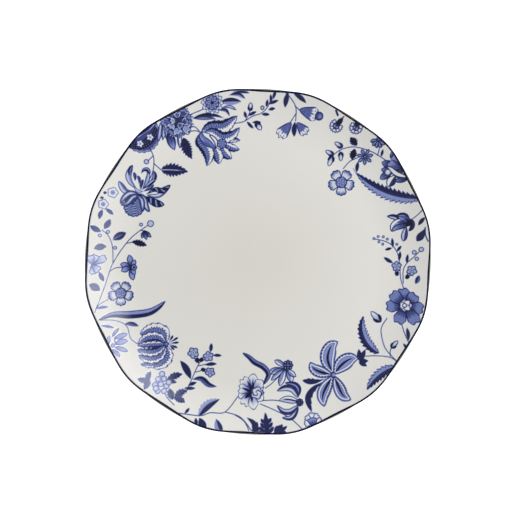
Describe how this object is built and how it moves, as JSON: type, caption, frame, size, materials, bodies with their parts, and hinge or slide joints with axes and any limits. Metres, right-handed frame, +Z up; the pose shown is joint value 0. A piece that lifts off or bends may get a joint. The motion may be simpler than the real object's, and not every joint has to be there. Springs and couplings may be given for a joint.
{
  "type": "dinner plate",
  "caption": "Round china dinner plate with a flat well, a curved rim, a gently lobed lip with a dark blue band, and an unglazed foot ring.",
  "frame": {"origin": "centre of the plate, on the surface that the foot ring stands on", "axes": "+Z up out of the well; +X to the right and +Y to the top of the printed flowers"},
  "size_m": [0.2722, 0.2722, 0.0202],
  "materials": {
    "glazed_porcelain": "warm white china under a clear gloss glaze",
    "unglazed_porcelain": "bare fired china, fine and dry, left unglazed where the plate stood in the kiln",
    "cobalt_blue": "cobalt pigment under the same gloss glaze: the lip band and the printed flowers"
  },
  "bodies": {
    "root": {"plate_body": "glazed_porcelain", "foot_ring": "unglazed_porcelain", "lip_band": "cobalt_blue"}
  },
  "joints": []
}
